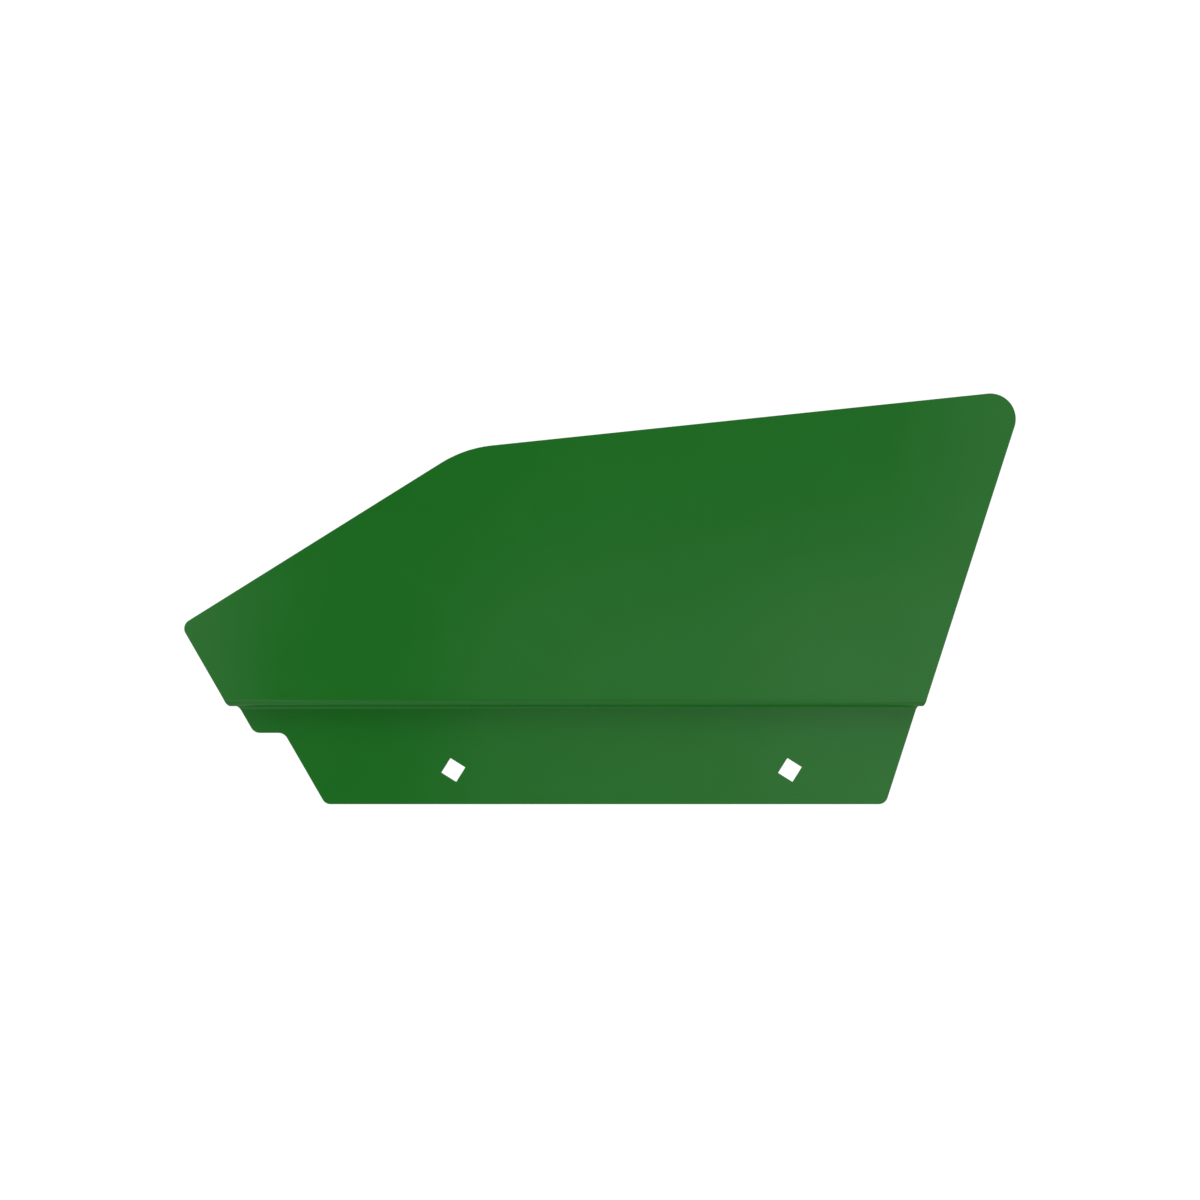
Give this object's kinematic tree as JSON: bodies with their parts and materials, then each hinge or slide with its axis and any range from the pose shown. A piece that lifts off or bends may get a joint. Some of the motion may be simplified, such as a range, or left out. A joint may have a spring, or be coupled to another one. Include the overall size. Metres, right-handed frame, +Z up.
{
  "type": "side plate",
  "caption": "Folded steel side plate whose tall painted panel steps forward of a lower mounting flange with square bolt holes.",
  "frame": {"origin": "on the mounting flange's back face, midway between the centres of the two square holes", "axes": "+X along the folds, to the right seen from the front; +Y out of the flange's back face, into what it is bolted to; +Z up, from the flange to the panel"},
  "size_m": [0.4878, 0.0125, 0.2424],
  "materials": {
    "green_paint": "semi-gloss powder coat"
  },
  "bodies": {
    "root": {"joggled_plate": "green_paint"}
  },
  "joints": []
}
